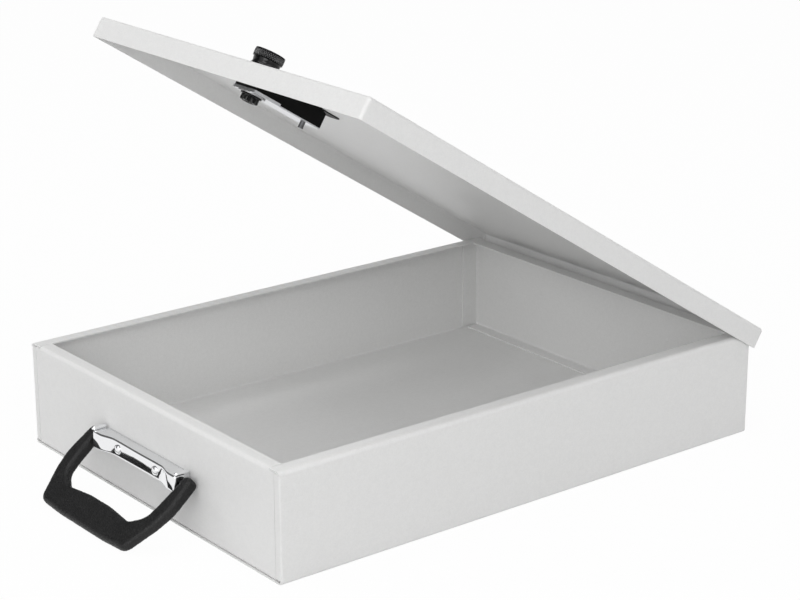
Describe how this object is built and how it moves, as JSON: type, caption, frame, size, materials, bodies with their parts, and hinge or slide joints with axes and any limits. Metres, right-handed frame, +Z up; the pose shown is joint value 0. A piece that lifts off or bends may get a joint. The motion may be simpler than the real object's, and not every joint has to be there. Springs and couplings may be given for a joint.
{
  "type": "document box",
  "caption": "Shallow sheet-steel box for papers with folded rim, hinged flanged lid, turning knob lock and folding carrying handle.",
  "frame": {"origin": "centre of the tray's base, on the surface it stands on", "axes": "+Z up, +Y from the handle's wall to the hinge, +X to the right seen from the handle"},
  "size_m": [0.2336, 0.3622, 0.2284],
  "materials": {
    "powder_coat": "fine-textured powder coat, light grey",
    "chrome": "bright plated",
    "steel": "zinc plated, satin",
    "grip_plastic": "moulded leather grain, black",
    "black_plastic": "satin black",
    "black_paint": "matt black lacquer"
  },
  "bodies": {
    "tray": {"tray_shell": "powder_coat", "front_panel": "powder_coat", "back_panel": "powder_coat", "hinge_leaf_tray": "powder_coat", "hinge_leaf_rivets": "powder_coat", "hinge_pin": "steel", "handle_bracket": "chrome", "handle_rivets": "chrome", "rivet_washers": "steel", "handle_pins": "steel"},
    "handle": {"handle_grip": "grip_plastic", "handle_core": "steel"},
    "lid": {"lid_shell": "powder_coat", "hinge_leaf_lid": "powder_coat", "lock_case": "black_paint", "lock_cover": "chrome", "cover_stud": "steel", "case_rivets": "steel"},
    "knob": {"knob": "black_plastic", "spindle": "steel", "bolt_cam": "steel", "spindle_washer": "steel", "spindle_nut": "black_plastic"},
    "key_plug": {"key_plug": "steel"},
    "bolt": {"latch_bolt": "steel"}
  },
  "joints": [
    {"name": "lid_hinge", "type": "hinge", "parent": "tray", "child": "lid", "pos_m": [0, 0.1605, 0.0495], "axis": [-1, 0, 0], "range_deg": [-32.5, 72.65]},
    {"name": "handle_pivot", "type": "hinge", "parent": "tray", "child": "handle", "pos_m": [0, -0.1606, 0.0284], "axis": [-1, 0, 0], "range_deg": [-51, 115]},
    {"name": "knob_turn", "type": "hinge", "parent": "lid", "child": "knob", "pos_m": [0, -0.08178, 0.21456], "axis": [0, -0.5351, -0.8448], "range_deg": [0, 90]},
    {"name": "key_turn", "type": "hinge", "parent": "knob", "child": "key_plug", "pos_m": [0, -0.07541, 0.22461], "axis": [0, -0.5351, -0.8448], "range_deg": [0, 90]},
    {"name": "bolt_slide", "type": "slide", "parent": "lid", "child": "bolt", "axis": [0, -0.8448, 0.5351], "range_m": [0, 0.00651]}
  ],
  "couplings": [
    {"joint": "bolt_slide", "follows": "knob_turn", "m_per_rad": 0.0041415}
  ]
}
